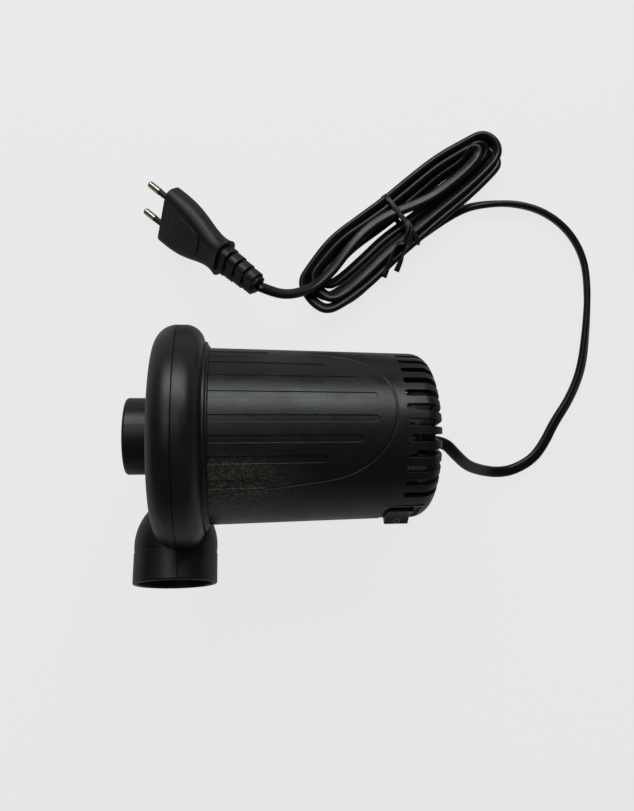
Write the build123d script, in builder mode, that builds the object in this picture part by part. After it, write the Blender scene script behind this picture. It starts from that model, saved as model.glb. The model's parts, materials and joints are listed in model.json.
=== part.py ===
from build123d import *
import os
from math import cos, pi, radians, sin, tan

# Electric air mattress pump, lying on its side with its flat mains lead wound in a hank.
# Row frame: +X along the motor axis to the rear, +Z up, the floor at Z = 0, millimetres.
# Origin: centre of the footprint of the pump body, on the floor.

os.makedirs("parts", exist_ok=True)

# ---------------------------------------------------------------- driving dimensions
TILT = 6.75                 # the fat air case lifts the front, so the rear end dips
ROLL = 20.5                 # the body lies rolled, outlet pointing up by this much
SEAM_CENTRE = (-51.75, 13.75, 57.48)

CASE_R = 57.4               # air case, outside radius at the seam
CASE_FRONT = -12.1          # stations along the motor axis, seam at 0
CASE_REAR = 13.0
FRONT_CORNER = 11.7
REAR_CORNER = 9.5
CASE_WALL = 2.2
SEAM_DEPTH = 0.55
SEAM_HALF = 0.22

INLET_R = 19.7
INLET_BORE = 17.5
INLET_TIP = -26.75
GUARD_FRONT = -12.6
GUARD_DEPTH = 2.0
GUARD_R = 17.9

OUTLET_DROP = 29.5          # outlet axis below the motor axis
OUTLET_SHIFT = -2.6         # outlet axis towards the intake, from the seam
OUTLET_R = 21.7
NECK_R = 21.35
OUTLET_STEP = 56.0          # distances along the outlet, from the motor axis
OUTLET_MOUTH = 71.5

BODY_FRONT = 15.6
BODY_FRONT_R = 45.65
BODY_REAR = 129.0
BODY_REAR_R = 43.6
BODY_CORNER = 9.5
BODY_WALL = 2.5

SLOT_FRONT = 109.8
SLOT_WIDTH = 3.6
SLOT_INNER_R = 25.0
SLOT_STEP = 10.0
SLOTS_A_SIDE = 13

PANEL_DEPTH = 0.5
STRIP_DEPTH = 0.45
# (turn from the panel's middle, rear end station, width)
STRIPS = ((7.6, 96.3, 3.3), (19.9, 88.5, 3.5), (32.2, 71.6, 3.8), (47.7, 44.7, 5.2))

SWITCH_STATION = 111.6
RECESS_FACE = 41.7          # the recess floor's distance from the motor axis
RECESS_LENGTH = 18.4
ROCKER_WIDTH = 12.4
ROCKER_HALF = 8.4
ROCKER_THROW = 12.0         # each way from level

SHAFT_R = 3.0
RUNNING = 0.05              # radial clearance of the shaft in its bearings
STATOR_R = 31.0
STACK_FRONT = 44.0
STACK_REAR = 70.0
ARMATURE_R = 15.7

GLAND_SHIFT = -3.5          # gland off the motor axis, towards the outlet side
CORD_R = 2.6                # round stand-in of the flat 6.4 x 4 lead, same section area

# ---------------------------------------------------------------- planes
tilt_c = cos(radians(TILT))
tilt_s = sin(radians(TILT))
roll_c = cos(radians(ROLL))
roll_s = sin(radians(ROLL))
REARWARD = Vector(tilt_c, 0, -tilt_s)
upright = Vector(tilt_s, 0, tilt_c)
across = Vector(0, 1, 0)
TOP = upright * roll_c + across * roll_s
AWAY = across * roll_c - upright * roll_s

# MOTOR: x away from the outlet, y to the thumb panel, z to the rear, origin at the seam.
MOTOR = Plane(origin=SEAM_CENTRE, x_dir=AWAY, z_dir=REARWARD)
MOTOR_AXIS = Axis(MOTOR.origin, MOTOR.z_dir)
# PROFILE: x is the station along the motor axis, y the radius towards the panel.
PROFILE = Plane(origin=SEAM_CENTRE, x_dir=REARWARD, z_dir=-AWAY)


def place(x, y, station):
    """A point of the MOTOR frame in the row frame."""
    return MOTOR.from_local_coords(Vector(x, y, station))


OUTLET_BASE = place(0, -OUTLET_DROP, OUTLET_SHIFT)
OUTLET = Plane(origin=OUTLET_BASE, x_dir=REARWARD, z_dir=-AWAY)
OUTLET_AXIS = Axis(OUTLET_BASE, OUTLET.z_dir)
# OUTLET_PROFILE: x is the distance along the outlet, y the radius.
OUTLET_PROFILE = Plane(origin=OUTLET_BASE, x_dir=-AWAY, z_dir=REARWARD)

# SWITCH: x along the motor axis, y towards the panel, z outwards, origin on the recess floor.
SWITCH = Plane(origin=place(-RECESS_FACE, 0, SWITCH_STATION), x_dir=REARWARD, z_dir=-AWAY)


def radial(turn, station=0.0, radius=0.0, shift=0.0):
    """Plane at a radius, facing outwards at a turn from the panel's middle; x is rearward."""
    outward = TOP * cos(radians(turn)) + AWAY * sin(radians(turn))
    side = AWAY * cos(radians(turn)) - TOP * sin(radians(turn))
    origin = place(0, 0, station) + outward * radius + side * shift
    return Plane(origin=origin, x_dir=REARWARD, z_dir=outward)


def turn_outline(outline, plane=PROFILE, axis=MOTOR_AXIS, mode=Mode.ADD):
    """Revolve a closed outline of (station, radius) points about the axis."""
    with BuildSketch(plane) as section:
        with BuildLine():
            Polyline(*outline, close=True)
        make_face()
    revolve(section.sketch, axis=axis, mode=mode)


def ring(front, rear, inner, outer, mode=Mode.ADD):
    """A turned ring or disc about the motor axis."""
    outline = ((front, inner), (rear, inner), (rear, outer), (front, outer))
    turn_outline(outline, mode=mode)


def posts(plane, radius, spots, height, mode=Mode.ADD):
    """Round posts of one radius and height standing on a plane."""
    with BuildSketch(plane) as feet:
        with Locations(*spots):
            Circle(radius)
    extrude(feet.sketch, amount=height, mode=mode)


def on_circle(radius, turns):
    """(x, y) spots of the MOTOR plane at a radius, turns from the panel's middle."""
    return [(radius * sin(radians(t)), radius * cos(radians(t))) for t in turns]


# ---------------------------------------------------------------- air case
def air_case(inset):
    """The air case and its outlet as one solid, every outside wall moved in by inset."""
    front = CASE_FRONT + inset
    rear = CASE_REAR - inset
    rim = CASE_R - inset
    corner_f = FRONT_CORNER - inset
    corner_r = REAR_CORNER - inset
    with BuildPart() as case:
        with BuildSketch(PROFILE):
            with BuildLine():
                Line((front, 0), (front, rim - corner_f))
                CenterArc((front + corner_f, rim - corner_f), corner_f, 90, 90)
                Line((front + corner_f, rim), (rear - corner_r, rim))
                CenterArc((rear - corner_r, rim - corner_r), corner_r, 0, 90)
                Line((rear, rim - corner_r), (rear, 0))
                Line((rear, 0), (front, 0))
            make_face()
        revolve(axis=MOTOR_AXIS)
        with BuildSketch(OUTLET_PROFILE):
            with BuildLine():
                Line((20, 0), (20, 9.3 - inset))
                Line((20, 9.3 - inset), (28, 9.3 - inset))
                ThreePointArc(
                    (28, 9.3 - inset), (41.5, 19.8 - inset), (OUTLET_STEP, NECK_R - inset)
                )
                Line((OUTLET_STEP, NECK_R - inset), (OUTLET_STEP, OUTLET_R - inset))
                Line((OUTLET_STEP, OUTLET_R - inset), (OUTLET_MOUTH, OUTLET_R - inset))
                Line((OUTLET_MOUTH, OUTLET_R - inset), (OUTLET_MOUTH, 0))
                Line((OUTLET_MOUTH, 0), (20, 0))
            make_face()
        revolve(axis=OUTLET_AXIS)
    return case.part


case_outside = air_case(0)
case_inside = air_case(CASE_WALL)
case_core = air_case(SEAM_DEPTH)

with BuildPart() as seam_groove:
    with BuildSketch(MOTOR.offset(-SEAM_HALF)):
        Rectangle(220, 220)
    extrude(amount=2 * SEAM_HALF)
    add(case_core, mode=Mode.SUBTRACT)

with BuildPart() as case_shell:
    add(case_outside)
    add(case_inside, mode=Mode.SUBTRACT)
    mouth_rims = case_shell.edges().filter_by(GeomType.CIRCLE).filter_by(
        lambda e: abs(OUTLET.to_local_coords(e.arc_center).Z - OUTLET_MOUTH) < 0.01
    )
    fillet(mouth_rims, radius=0.9)
    add(seam_groove.part, mode=Mode.SUBTRACT)

# Front half: flat face with the intake spigot, open through its bore.
with BuildPart() as volute_front_cover:
    add(case_shell.part)
    split(bisect_by=MOTOR, keep=Keep.BOTTOM)
    rim = 1.6
    with BuildSketch(PROFILE):
        with BuildLine():
            Line((CASE_FRONT + 0.5, INLET_BORE), (CASE_FRONT + 0.5, INLET_R + 1.2))
            Line((CASE_FRONT + 0.5, INLET_R + 1.2), (CASE_FRONT, INLET_R + 1.2))
            CenterArc((CASE_FRONT - 1.2, INLET_R + 1.2), 1.2, -90, 90)
            Line((CASE_FRONT - 1.2, INLET_R), (INLET_TIP + rim, INLET_R))
            CenterArc((INLET_TIP + rim, INLET_R - rim), rim, 90, 90)
            Line((INLET_TIP, INLET_R - rim), (INLET_TIP, INLET_BORE))
            Line((INLET_TIP, INLET_BORE), (CASE_FRONT + 0.5, INLET_BORE))
        make_face()
    revolve(axis=MOTOR_AXIS)
    ring(INLET_TIP - 1, 0, 0, INLET_BORE, mode=Mode.SUBTRACT)
    ring(GUARD_FRONT, 0, 0, GUARD_R, mode=Mode.SUBTRACT)
volute_front_cover.part.label = "volute_front_cover"
export_step(volute_front_cover.part, "parts/volute_front_cover.step")

# Rear half: back wall with posts for the housing, the stepped collar and the locating lip.
SCREW_TURNS = (45, 135, 225, 315)
SCREW_RADIUS = 36.5
MOUNT_TURNS = (0, 120, 240)
MOUNT_RADIUS = 24.0
BOSS_FACE = 19.2
with BuildPart() as volute_rear_cover:
    add(case_shell.part)
    split(bisect_by=MOTOR, keep=Keep.TOP)
    with BuildSketch(PROFILE):
        with BuildLine():
            Line((CASE_REAR - 1, 41.0), (CASE_REAR - 1, 48.9))
            Line((CASE_REAR - 1, 48.9), (13.6, 48.9))
            CenterArc((13.6, 47.9), 1.0, 0, 90)
            Line((14.6, 47.9), (14.6, 46.9))
            Line((14.6, 46.9), (15.0, 46.9))
            CenterArc((15.0, 46.3), 0.6, 0, 90)
            Line((BODY_FRONT, 46.3), (BODY_FRONT, 42.8))
            Line((BODY_FRONT, 42.8), (19.0, 42.8))
            Line((19.0, 42.8), (19.0, 41.0))
            Line((19.0, 41.0), (CASE_REAR - 1, 41.0))
        make_face()
    revolve(axis=MOTOR_AXIS)
    posts(MOTOR.offset(CASE_REAR - 1), 3.6, on_circle(SCREW_RADIUS, SCREW_TURNS), BOSS_FACE - CASE_REAR + 1)
    posts(MOTOR.offset(5), 1.7, on_circle(SCREW_RADIUS, SCREW_TURNS), 20, mode=Mode.SUBTRACT)
    posts(MOTOR.offset(5), 1.7, on_circle(MOUNT_RADIUS, MOUNT_TURNS), 20, mode=Mode.SUBTRACT)
    ring(0.0, 30, 0, 8.5, mode=Mode.SUBTRACT)
    # room for the housing's front edge beside the outlet
    ring(BODY_FRONT, 30, 42.8, BODY_FRONT_R + 0.2, mode=Mode.SUBTRACT)
volute_rear_cover.part.label = "volute_rear_cover"
export_step(volute_rear_cover.part, "parts/volute_rear_cover.step")

# Finger guard behind the spigot's throat: three rings on six spokes.
with BuildPart() as intake_guard:
    with BuildSketch(MOTOR.offset(GUARD_FRONT)):
        for outer, inner in ((GUARD_R, 15.9), (11.8, 10.6), (6.6, 5.4)):
            with BuildSketch(mode=Mode.PRIVATE) as hoop:
                Circle(outer)
                Circle(inner, mode=Mode.SUBTRACT)
            add(hoop.sketch)
        with PolarLocations(10.6, 6):
            Rectangle(11.6, 1.3)
    extrude(amount=GUARD_DEPTH)
intake_guard.part.label = "intake_guard"
export_step(intake_guard.part, "parts/intake_guard.step")

# ---------------------------------------------------------------- motor housing
def body_outline(inset):
    """Half outline of the housing from its open front to the middle of its rear wall."""
    corner = BODY_CORNER - inset
    rear = BODY_REAR - inset
    front_r = BODY_FRONT_R - inset
    rear_r = BODY_REAR_R - inset
    with BuildLine(mode=Mode.PRIVATE) as outline:
        Line((BODY_FRONT, 0), (BODY_FRONT, front_r))
        Line((BODY_FRONT, front_r), (rear - corner, rear_r))
        CenterArc((rear - corner, rear_r - corner), corner, 0, 90)
        Line((rear, rear_r - corner), (rear, 0))
        Line((rear, 0), (BODY_FRONT, 0))
    return outline.line


with BuildPart() as body_skin:
    with BuildSketch(PROFILE):
        with BuildLine():
            add(body_outline(0))
        make_face()
    revolve(axis=MOTOR_AXIS)
    with BuildSketch(PROFILE):
        with BuildLine():
            add(body_outline(STRIP_DEPTH))
        make_face()
    revolve(axis=MOTOR_AXIS, mode=Mode.SUBTRACT)

# One rear vent: along the side, round the corner and inwards on the rear face.
def vent(turn):
    """Cutter of one vent, tapering towards the middle of the rear face."""
    length = BODY_REAR + 4 - SLOT_FRONT
    with BuildPart(mode=Mode.PRIVATE) as cutter:
        with BuildSketch(radial(turn, SLOT_FRONT + length / 2, 34.0)) as side_cut:
            Rectangle(length - SLOT_WIDTH, SLOT_WIDTH)
            with Locations((-(length - SLOT_WIDTH) / 2, 0)):
                Circle(SLOT_WIDTH / 2)
        extrude(side_cut.sketch, amount=14)
        half_in = 1.05
        half_out = SLOT_WIDTH / 2
        with BuildSketch(MOTOR.offset(BODY_REAR - BODY_CORNER + 1)) as face_cut:
            with BuildSketch(mode=Mode.PRIVATE) as wedge:
                with BuildLine():
                    Polyline(
                        (-half_in, SLOT_INNER_R), (half_in, SLOT_INNER_R),
                        (half_out, 40.0), (-half_out, 40.0), close=True,
                    )
                make_face()
                with Locations((0, SLOT_INNER_R)):
                    Circle(half_in)
            add(wedge.sketch, rotation=-turn)
        extrude(face_cut.sketch, amount=BODY_CORNER + 2)
    return cutter.part


vent_turns = [SLOT_STEP * (i - (SLOTS_A_SIDE - 1) / 2) for i in range(SLOTS_A_SIDE)]
vent_turns += [turn + 180 for turn in vent_turns]

with BuildPart() as motor_housing:
    with BuildSketch(PROFILE):
        with BuildLine():
            add(body_outline(0))
        make_face()
    revolve(axis=MOTOR_AXIS)
    with BuildSketch(PROFILE):
        with BuildLine():
            add(body_outline(BODY_WALL))
        make_face()
    revolve(axis=MOTOR_AXIS, mode=Mode.SUBTRACT)
    # pad behind the switch recess, then the recess itself
    with BuildSketch(SWITCH.offset(-3.0)):
        Rectangle(RECESS_LENGTH + 3, 28)
    extrude(amount=3.0)
    with BuildSketch(SWITCH):
        Rectangle(RECESS_LENGTH, 40)
    extrude(amount=8)
    with BuildSketch(SWITCH.offset(-6)):
        Rectangle(14.6, 20.8)
    extrude(amount=8, mode=Mode.SUBTRACT)
    with BuildSketch(SWITCH):
        Rectangle(RECESS_LENGTH, 40)
    extrude(amount=8, mode=Mode.SUBTRACT)
    # screw bosses tied to the wall
    for turn in SCREW_TURNS:
        with BuildSketch(MOTOR.offset(BOSS_FACE)) as boss:
            with Locations(*on_circle(SCREW_RADIUS, [turn])):
                Circle(3.6)
            with Locations(*on_circle(SCREW_RADIUS + 3.8, [turn])):
                Rectangle(3.0, 7.4, rotation=-turn)
        extrude(amount=14)
    posts(MOTOR.offset(BOSS_FACE), 1.3, on_circle(SCREW_RADIUS, SCREW_TURNS), 12, mode=Mode.SUBTRACT)
    # gland hole
    posts(MOTOR.offset(120), 5.0, [(GLAND_SHIFT, 0)], 12, mode=Mode.SUBTRACT)
    for turn in vent_turns:
        add(vent(turn), mode=Mode.SUBTRACT)
    # longitudinal strips on both sides
    for side in (0, 180):
        for strip_turn, strip_end, strip_width in STRIPS:
            for hand in (-1, 1):
                middle = (BODY_FRONT + strip_end) / 2
                length = strip_end - BODY_FRONT
                with BuildPart(mode=Mode.PRIVATE) as strip:
                    with BuildSketch(radial(side + hand * strip_turn, middle, 40.0)) as flat:
                        with Locations((-strip_width / 4, 0)):
                            Rectangle(length - strip_width / 2, strip_width)
                        with Locations((length / 2 - strip_width / 2, 0)):
                            Circle(strip_width / 2)
                    extrude(flat.sketch, amount=8)
                    add(body_skin.part, mode=Mode.INTERSECT)
                add(strip.part, mode=Mode.SUBTRACT)
motor_housing.part.label = "motor_housing"
export_step(motor_housing.part, "parts/motor_housing.step")

SCREW_HEAD_FACE = CASE_REAR - CASE_WALL
with BuildPart() as housing_screws:
    posts(MOTOR.offset(SCREW_HEAD_FACE - 1.8), 3.0, on_circle(SCREW_RADIUS, SCREW_TURNS), 1.8)
    posts(MOTOR.offset(SCREW_HEAD_FACE), 1.3, on_circle(SCREW_RADIUS, SCREW_TURNS), 19)
housing_screws.part.label = "housing_screws"
export_step(housing_screws.part, "parts/housing_screws.step")

# ---------------------------------------------------------------- rotor
SHAFT_FRONT = -9.0
SHAFT_REAR = 100.0
with BuildPart() as motor_shaft:
    ring(SHAFT_FRONT, SHAFT_REAR, 0, SHAFT_R)
motor_shaft.part.label = "motor_shaft"
export_step(motor_shaft.part, "parts/motor_shaft.step")

IMPELLER_R = 44.0
with BuildSketch() as vane:
    with BuildLine():
        ThreePointArc((15, 0), (29.5, 6), (43.4, 0))
    trace(line_width=1.5)
with BuildPart() as impeller:
    turn_outline(((-4, SHAFT_R), (7, SHAFT_R), (7, IMPELLER_R), (5.4, IMPELLER_R),
                  (5.0, 16.0), (-1.0, 9.0), (-4, 8.0)))
    with BuildSketch(MOTOR.offset(-7)):
        with PolarLocations(0, 9):
            add(vane.sketch)
    extrude(amount=12.2)
impeller.part.label = "impeller"
export_step(impeller.part, "parts/impeller.step")

with BuildPart() as impeller_washer:
    ring(-5, -4, SHAFT_R, 6.5)
impeller_washer.part.label = "impeller_washer"
export_step(impeller_washer.part, "parts/impeller_washer.step")

with BuildPart() as impeller_nut:
    with BuildSketch(MOTOR.offset(-8.4)):
        RegularPolygon(5.6, 6)
        Circle(SHAFT_R, mode=Mode.SUBTRACT)
    extrude(amount=3.4)
impeller_nut.part.label = "impeller_nut"
export_step(impeller_nut.part, "parts/impeller_nut.step")

FAN_FRONT = 25.0
with BuildPart() as cooling_fan:
    ring(FAN_FRONT, FAN_FRONT + 9, SHAFT_R, 7)
    ring(FAN_FRONT, FAN_FRONT + 1.5, SHAFT_R, 25)
    with BuildSketch(MOTOR.offset(FAN_FRONT + 1)):
        with PolarLocations(15.6, 12):
            Rectangle(18.0, 1.3)
    extrude(amount=7)
cooling_fan.part.label = "cooling_fan"
export_step(cooling_fan.part, "parts/cooling_fan.step")

SLOT_COUNT = 12
SLOT_MIDDLE = 11.6
with BuildPart() as armature_core:
    with BuildSketch(MOTOR.offset(STACK_FRONT)):
        Circle(ARMATURE_R)
        Circle(SHAFT_R, mode=Mode.SUBTRACT)
        with PolarLocations(SLOT_MIDDLE, SLOT_COUNT):
            SlotOverall(5.4, 3.0, mode=Mode.SUBTRACT)
        with PolarLocations(ARMATURE_R - 0.9, SLOT_COUNT):
            Rectangle(3.0, 1.1, mode=Mode.SUBTRACT)
    extrude(amount=STACK_REAR - STACK_FRONT)
armature_core.part.label = "armature_core"
export_step(armature_core.part, "parts/armature_core.step")

with BuildPart() as armature_winding:
    for front, rear in ((STACK_FRONT - 6.5, STACK_FRONT), (STACK_REAR, STACK_REAR + 6.5)):
        turn_outline(((front + 1.5, 4.0), (rear - 0.0, 4.0), (rear - 0.0, 14.4),
                      (rear - 2.0, 14.8), (front + 2.0, 13.2), (front, 10.0), (front, 5.5)))
    with BuildSketch(MOTOR.offset(STACK_FRONT)):
        with PolarLocations(SLOT_MIDDLE, SLOT_COUNT):
            SlotOverall(5.0, 2.6)
    extrude(amount=STACK_REAR - STACK_FRONT)
armature_winding.part.label = "armature_winding"
export_step(armature_winding.part, "parts/armature_winding.step")

COMMUTATOR_FRONT = 79.0
COMMUTATOR_REAR = 90.0
COMMUTATOR_R = 9.0
with BuildPart() as commutator:
    ring(COMMUTATOR_FRONT, COMMUTATOR_REAR, SHAFT_R, COMMUTATOR_R)
    ring(COMMUTATOR_FRONT, COMMUTATOR_FRONT + 1.6, COMMUTATOR_R - 1, COMMUTATOR_R + 1.6)
    with BuildSketch(MOTOR.offset(COMMUTATOR_FRONT - 1)):
        with PolarLocations(COMMUTATOR_R + 0.6, 24):
            Rectangle(2.6, 0.5)
    extrude(amount=14, mode=Mode.SUBTRACT)
commutator.part.label = "commutator"
export_step(commutator.part, "parts/commutator.step")

# ---------------------------------------------------------------- stator and brackets
BRACKET_R = 32.4
BOLT_R = 1.5
BOLT_CIRCLE = 28.6
BOLT_TURNS = (90, 270)
FRONT_BRACKET = 18.0
REAR_BRACKET = 92.0
CUP_R = 8.4
CUP_BORE = 6.4


def bracket_plate(front, depth, cup_front, cup_rear):
    """Motor end bracket: a windowed plate on its bearing cup, with bolt and foot holes."""
    with BuildPart() as plate:
        with BuildSketch(MOTOR.offset(front)):
            Circle(BRACKET_R)
            with PolarLocations(18.0, 4, start_angle=45):
                SlotOverall(13.0, 8.5, rotation=90, mode=Mode.SUBTRACT)
        extrude(amount=depth)
        ring(cup_front, cup_rear, 0, CUP_R)
        ring(cup_front - 1, cup_rear + 1, 0, CUP_BORE, mode=Mode.SUBTRACT)
        posts(MOTOR.offset(front - 1), BOLT_R, on_circle(BOLT_CIRCLE, BOLT_TURNS),
              depth + 2, mode=Mode.SUBTRACT)
        posts(MOTOR.offset(front - 1), 1.3, on_circle(MOUNT_RADIUS, MOUNT_TURNS),
              depth + 2, mode=Mode.SUBTRACT)
    return plate.part


with BuildPart() as front_bracket:
    add(bracket_plate(FRONT_BRACKET, 2.0, 15.0, 23.0))
front_bracket.part.label = "front_bracket"
export_step(front_bracket.part, "parts/front_bracket.step")

with BuildPart() as rear_bracket:
    add(bracket_plate(REAR_BRACKET, 2.0, REAR_BRACKET, 100.0))
rear_bracket.part.label = "rear_bracket"
export_step(rear_bracket.part, "parts/rear_bracket.step")

with BuildPart() as front_bearing:
    ring(15.5, 22.5, SHAFT_R + RUNNING, CUP_BORE)
front_bearing.part.label = "front_bearing"
export_step(front_bearing.part, "parts/front_bearing.step")

with BuildPart() as rear_bearing:
    ring(93.0, 99.5, SHAFT_R + RUNNING, CUP_BORE)
rear_bearing.part.label = "rear_bearing"
export_step(rear_bearing.part, "parts/rear_bearing.step")

POLE_R = ARMATURE_R + 0.6
with BuildPart() as stator_core:
    with BuildSketch(MOTOR.offset(STACK_FRONT)):
        Circle(STATOR_R)
        Circle(STATOR_R - 5.0, mode=Mode.SUBTRACT)
        with BuildSketch(mode=Mode.PRIVATE) as pole:
            Circle(STATOR_R - 4)
            with Locations((0, 0)):
                Rectangle(16, 70, mode=Mode.INTERSECT)
            Circle(POLE_R, mode=Mode.SUBTRACT)
        add(pole.sketch)
        for turn in BOLT_TURNS:
            with Locations(*on_circle(BOLT_CIRCLE, [turn])):
                Circle(BOLT_R, mode=Mode.SUBTRACT)
    extrude(amount=STACK_REAR - STACK_FRONT)
stator_core.part.label = "stator_core"
export_step(stator_core.part, "parts/stator_core.step")

with BuildPart() as field_coils:
    for hand in (-1, 1):
        with BuildSketch(Plane(origin=place(0, hand * 17.0, (STACK_FRONT + STACK_REAR) / 2),
                               x_dir=REARWARD, z_dir=TOP * hand)):
            RectangleRounded(38, 23, 4)
            Rectangle(STACK_REAR - STACK_FRONT, 16, mode=Mode.SUBTRACT)
        extrude(amount=5.0)
field_coils.part.label = "field_coils"
export_step(field_coils.part, "parts/field_coils.step")

with BuildPart() as motor_bolts:
    posts(MOTOR.offset(FRONT_BRACKET), BOLT_R, on_circle(BOLT_CIRCLE, BOLT_TURNS),
          REAR_BRACKET + 4.5 - FRONT_BRACKET)
    posts(MOTOR.offset(REAR_BRACKET + 2), 2.7, on_circle(BOLT_CIRCLE, BOLT_TURNS), 2.4)
    posts(MOTOR.offset(FRONT_BRACKET - 2), 2.7, on_circle(BOLT_CIRCLE, BOLT_TURNS), 2.0)
motor_bolts.part.label = "motor_bolts"
export_step(motor_bolts.part, "parts/motor_bolts.step")

# Sleeves keep the brackets apart on the bolts, each side of the stack.
with BuildPart() as bolt_spacers:
    for front, rear in ((FRONT_BRACKET + 2, STACK_FRONT), (STACK_REAR, REAR_BRACKET)):
        with BuildSketch(MOTOR.offset(front)) as tubes:
            with Locations(*on_circle(BOLT_CIRCLE, BOLT_TURNS)):
                Circle(2.4)
                Circle(BOLT_R, mode=Mode.SUBTRACT)
        extrude(tubes.sketch, amount=rear - front)
bolt_spacers.part.label = "bolt_spacers"
export_step(bolt_spacers.part, "parts/bolt_spacers.step")

with BuildPart() as motor_mount_rings:
    with BuildSketch(MOTOR.offset(CASE_REAR)):
        with Locations(*on_circle(MOUNT_RADIUS, MOUNT_TURNS)):
            Circle(4.6)
            Circle(1.3, mode=Mode.SUBTRACT)
    extrude(amount=FRONT_BRACKET - CASE_REAR)
motor_mount_rings.part.label = "motor_mount_rings"
export_step(motor_mount_rings.part, "parts/motor_mount_rings.step")

with BuildPart() as motor_mount_screws:
    posts(MOTOR.offset(SCREW_HEAD_FACE - 1.6), 3.0, on_circle(MOUNT_RADIUS, MOUNT_TURNS), 1.6)
    posts(MOTOR.offset(SCREW_HEAD_FACE), 1.3, on_circle(MOUNT_RADIUS, MOUNT_TURNS), 9.8)
motor_mount_screws.part.label = "motor_mount_screws"
export_step(motor_mount_screws.part, "parts/motor_mount_screws.step")

# ---------------------------------------------------------------- brush gear
BRUSH_STATION = 84.6


def brush_plane(hand, radius):
    """Plane across a brush, facing outwards along the panel direction."""
    return Plane(origin=place(0, hand * radius, BRUSH_STATION), x_dir=REARWARD, z_dir=TOP * hand)


with BuildPart() as carbon_brushes:
    for hand in (-1, 1):
        with BuildSketch(brush_plane(hand, COMMUTATOR_R + 0.35)):
            Rectangle(6.0, 6.0)
        extrude(amount=10.5)
carbon_brushes.part.label = "carbon_brushes"
export_step(carbon_brushes.part, "parts/carbon_brushes.step")

with BuildPart() as brush_holders:
    for hand in (-1, 1):
        with BuildSketch(brush_plane(hand, 12.0)):
            Rectangle(8.0, 8.0)
            Rectangle(6.0, 6.0, mode=Mode.SUBTRACT)
        extrude(amount=16)
        with BuildSketch(brush_plane(hand, 14.0)):
            with Locations((5.7, 0)):
                Rectangle(3.4, 5.0)
        extrude(amount=5)
brush_holders.part.label = "brush_holders"
export_step(brush_holders.part, "parts/brush_holders.step")

with BuildPart() as brush_springs:
    for hand in (-1, 1):
        for coil in range(5):
            with BuildSketch(brush_plane(hand, COMMUTATOR_R + 10.85 + 1.3 * coil)):
                Circle(2.4)
                Circle(1.6, mode=Mode.SUBTRACT)
            extrude(amount=0.8)
        with BuildSketch(brush_plane(hand, COMMUTATOR_R + 10.85)):
            with Locations((2.0, 0)):
                Rectangle(0.6, 0.8)
        extrude(amount=6.0)
brush_springs.part.label = "brush_springs"
export_step(brush_springs.part, "parts/brush_springs.step")

with BuildPart() as brush_caps:
    for hand in (-1, 1):
        with BuildSketch(brush_plane(hand, 26.0)):
            Rectangle(5.8, 5.8)
        extrude(amount=2.0)
        with BuildSketch(brush_plane(hand, 28.0)):
            Rectangle(8.6, 8.6)
        extrude(amount=1.6)
brush_caps.part.label = "brush_caps"
export_step(brush_caps.part, "parts/brush_caps.step")

# ---------------------------------------------------------------- rocker switch
PIVOT_DEPTH = 2.0
SWITCH_DEPTH = 16.0
with BuildPart() as switch_body:
    with BuildSketch(SWITCH.offset(-SWITCH_DEPTH)):
        Rectangle(14.4, 20.6)
    extrude(amount=SWITCH_DEPTH)
    with BuildSketch(SWITCH.offset(-8.4)):
        Rectangle(13.1, 18.9)
    extrude(amount=9, mode=Mode.SUBTRACT)
    with BuildSketch(Plane(origin=SWITCH.from_local_coords(Vector(-7.2, 0, -PIVOT_DEPTH)),
                           x_dir=TOP, z_dir=REARWARD)):
        Circle(1.0 + RUNNING)
    extrude(amount=14.4, mode=Mode.SUBTRACT)
switch_body.part.label = "switch_body"
export_step(switch_body.part, "parts/switch_body.step")

# ROCKER: the rocker's own frame at its pivot, turned so that the I half is pressed in.
throw_c = cos(radians(ROCKER_THROW))
throw_s = sin(radians(ROCKER_THROW))
PIVOT = SWITCH.from_local_coords(Vector(0, 0, -PIVOT_DEPTH))
ROCKER_OUT = -AWAY * throw_c + TOP * throw_s
ROCKER = Plane(origin=PIVOT, x_dir=REARWARD, z_dir=ROCKER_OUT)
# ROCKER_SIDE: x towards the I end, y outwards.
ROCKER_SIDE = Plane(origin=PIVOT, x_dir=ROCKER.y_dir, z_dir=-REARWARD)
if ROCKER_SIDE.y_dir.dot(ROCKER_OUT) < 0:
    ROCKER_SIDE = Plane(origin=PIVOT, x_dir=ROCKER.y_dir, z_dir=REARWARD)
VALLEY = 3.4
PEAK = 5.9
with BuildPart() as switch_rocker:
    with BuildSketch(ROCKER_SIDE):
        with BuildLine():
            ThreePointArc((-ROCKER_HALF, PEAK), (-ROCKER_HALF / 2, 4.35), (0, VALLEY))
            ThreePointArc((0, VALLEY), (ROCKER_HALF / 2, 4.35), (ROCKER_HALF, PEAK))
            Line((ROCKER_HALF, PEAK), (ROCKER_HALF, -2.4))
            Line((ROCKER_HALF, -2.4), (-ROCKER_HALF, -2.4))
            Line((-ROCKER_HALF, -2.4), (-ROCKER_HALF, PEAK))
        make_face()
    extrude(amount=ROCKER_WIDTH / 2, both=True)
    fillet(switch_rocker.edges().filter_by(Axis(PIVOT, REARWARD)).sort_by(
        lambda e: (e.center() - PIVOT).length)[-2:], radius=0.9)
    with BuildSketch(Plane(origin=PIVOT, x_dir=TOP, z_dir=REARWARD)):
        Circle(1.0)
    extrude(amount=7.0, both=True)
switch_rocker.part.label = "switch_rocker"
export_step(switch_rocker.part, "parts/switch_rocker.step")

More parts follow.
